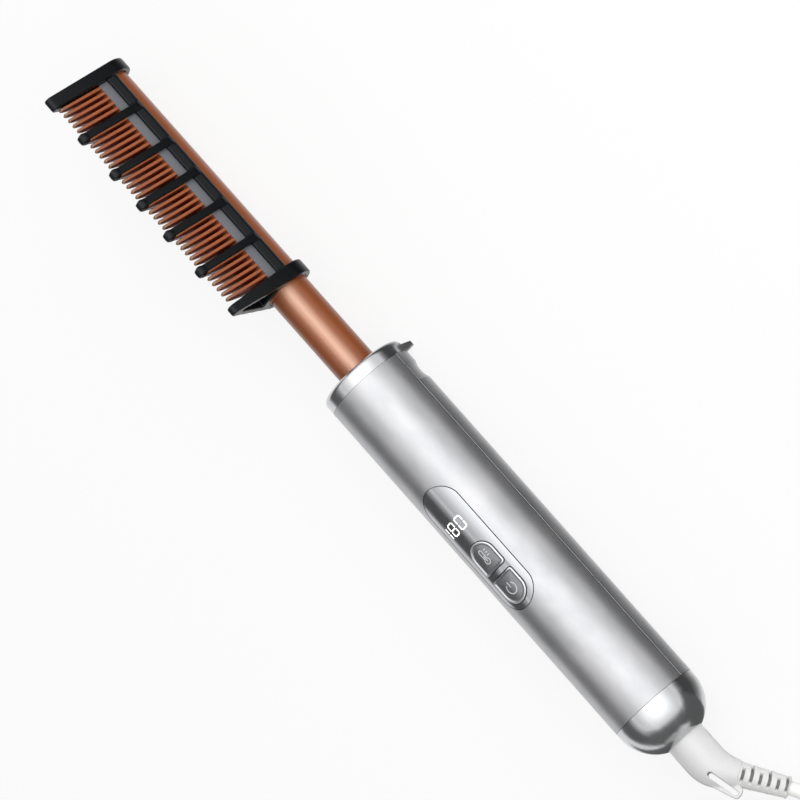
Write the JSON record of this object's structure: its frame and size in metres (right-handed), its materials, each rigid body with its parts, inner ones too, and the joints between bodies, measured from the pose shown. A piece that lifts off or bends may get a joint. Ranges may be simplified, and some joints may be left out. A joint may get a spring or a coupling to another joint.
{
  "type": "hot comb",
  "caption": "Heated straightening comb: coated teeth in a slotted guard, round silver handle with a digit display and buttons, and a swivelling cord with plug.",
  "frame": {"origin": "centre of the box of the comb without its cord, on the surface that it lies on", "axes": "+X along the handle's axis towards the cord, +Z the way the teeth point, +Y across; the handle's axis is at z = 17 mm"},
  "size_m": [0.4385, 0.0565, 0.0491],
  "materials": {
    "copper_coat": "satin copper-coloured ceramic coat",
    "guard_plastic": "satin heat-proof nylon, charcoal",
    "strip_plastic": "satin grey",
    "silver_lacquer": "silver metallic lacquer, satin",
    "plated_plastic": "bright silver plating",
    "panel_plastic": "bright silver plating, translucent over the display",
    "button_plastic": "grey metallic lacquer",
    "bush_plastic": "glass-filled, natural",
    "black_plastic": "moulded",
    "light_guide": "clear acrylic",
    "steel": "zinc plated",
    "board": "green solder mask",
    "chip_resin": "moulded epoxy",
    "capacitor_film": "yellow case",
    "capacitor_can": "blue sleeve",
    "ceramic": "white ceramic",
    "aluminium": "extruded",
    "lead_insulation": "silicone rubber",
    "brass": "bright",
    "nickel": "nickel plated",
    "boot_plastic": "smooth white",
    "white_pvc": "smooth white soft plastic",
    "tie": "woven tape"
  },
  "bodies": {
    "handle": {"barrel": "copper_coat", "comb_base": "copper_coat", "comb_teeth": "copper_coat", "side_strip_left": "strip_plastic", "side_strip_right": "strip_plastic", "guard": "guard_plastic", "guard_screws": "steel", "collar": "plated_plastic", "front_shell": "silver_lacquer", "back_shell": "silver_lacquer", "end_cap": "plated_plastic", "barrel_bush": "bush_plastic", "bush_pin": "steel", "control_panel": "panel_plastic", "temp_switch": "black_plastic", "power_switch": "black_plastic", "display_module": "black_plastic", "light_guide": "light_guide", "circuit_board": "board", "board_screws": "steel", "microcontroller": "chip_resin", "triac": "chip_resin", "film_capacitor": "capacitor_film", "electrolytic_capacitor": "capacitor_can", "heating_element": "ceramic", "heater_clamp_upper": "aluminium", "heater_clamp_lower": "aluminium", "thermal_fuse": "aluminium", "temperature_sensor": "ceramic", "heater_leads": "lead_insulation", "sensor_leads": "lead_insulation", "mains_leads": "lead_insulation", "swivel_bearing": "bush_plastic", "brush_holder": "black_plastic", "contact_brushes": "brass"},
    "temp_button": {"temp_button": "button_plastic", "temp_plunger": "black_plastic"},
    "power_button": {"power_button": "button_plastic", "power_plunger": "black_plastic"},
    "cord_swivel": {"swivel_boot": "boot_plastic", "contact_rings": "brass", "strain_relief": "white_pvc", "cord": "white_pvc", "cord_hank": "white_pvc", "cord_tail": "white_pvc", "hank_tie": "tie", "plug_body": "white_pvc", "plug_pins": "nickel"}
  },
  "joints": [
    {"name": "temp_button_press", "type": "slide", "parent": "handle", "child": "temp_button", "axis": [0, 0, -1], "range_m": [0, 0.0005], "stiffness_N_per_m": 2000},
    {"name": "power_button_press", "type": "slide", "parent": "handle", "child": "power_button", "axis": [0, 0, -1], "range_m": [0, 0.0005], "stiffness_N_per_m": 2000},
    {"name": "cord_swivel_turn", "type": "hinge", "parent": "handle", "child": "cord_swivel", "pos_m": [0.15, 0, 0.017], "axis": [1, 0, 0], "continuous": true}
  ]
}
